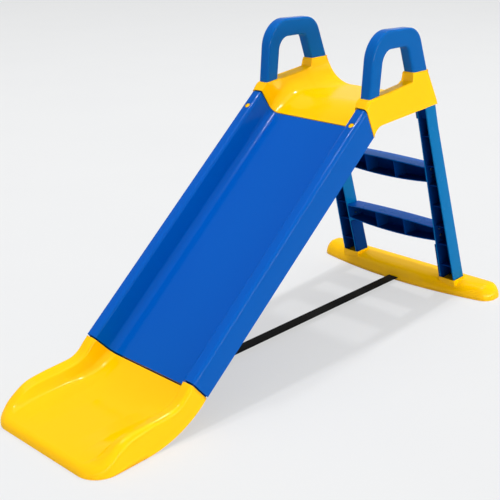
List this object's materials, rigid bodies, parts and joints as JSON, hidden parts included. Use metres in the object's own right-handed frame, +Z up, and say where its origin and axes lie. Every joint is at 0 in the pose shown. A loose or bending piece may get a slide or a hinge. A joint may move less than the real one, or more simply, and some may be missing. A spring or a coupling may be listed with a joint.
{
  "type": "toddler slide",
  "caption": "Free-standing folding toddler slide: straight chute with a run-out lip, saddle platform with grab handles, ladder on a wide foot bar and a floor strap.",
  "frame": {"origin": "centre of the footprint's bounding box, on the floor", "axes": "+X from the exit lip to the ladder, +Y across to the right-hand side of a child who faces down the chute, +Z up"},
  "size_m": [1.3938, 0.6, 0.7871],
  "materials": {
    "blue_plastic": "glossy moulded polyethylene, blue",
    "yellow_plastic": "glossy moulded polyethylene, warm yellow",
    "webbing": "black woven webbing",
    "dark_plastic": "black moulded plate",
    "steel": "zinc-plated steel"
  },
  "bodies": {
    "slide": {"chute": "blue_plastic", "exit_lip": "yellow_plastic", "platform": "yellow_plastic", "handle_left": "blue_plastic", "handle_right": "blue_plastic", "hinge_pin_left": "steel", "hinge_pin_right": "steel", "catch_spring_left": "steel", "catch_spring_right": "steel", "strap_clamp_lip": "dark_plastic", "lip_screws": "steel", "handle_screws": "steel", "strap_screws_lip": "steel"},
    "ladder": {"ladder_rail_left": "blue_plastic", "ladder_rail_right": "blue_plastic", "step_lower": "blue_plastic", "step_upper": "blue_plastic", "foot_bar": "yellow_plastic", "strap": "webbing", "strap_clamp_foot": "dark_plastic", "step_screws": "steel", "foot_screws": "steel", "strap_screws_foot": "steel"},
    "catch_left": {"catch_button_left": "yellow_plastic"},
    "catch_right": {"catch_button_right": "yellow_plastic"}
  },
  "joints": [
    {"name": "ladder_fold", "type": "hinge", "parent": "slide", "child": "ladder", "pos_m": [0.41481, 0, 0.60608], "axis": [0, 1, 0], "range_deg": [0, 72], "deforming": ["strap"]},
    {"name": "catch_left_press", "type": "slide", "parent": "slide", "child": "catch_left", "axis": [0.6481, 0, -0.7615], "range_m": [0, 0.005], "stiffness_N_per_m": 400, "deforming": ["catch_spring_left"]},
    {"name": "catch_right_press", "type": "slide", "parent": "slide", "child": "catch_right", "axis": [0.6481, 0, -0.7615], "range_m": [0, 0.005], "stiffness_N_per_m": 400, "deforming": ["catch_spring_right"]}
  ]
}
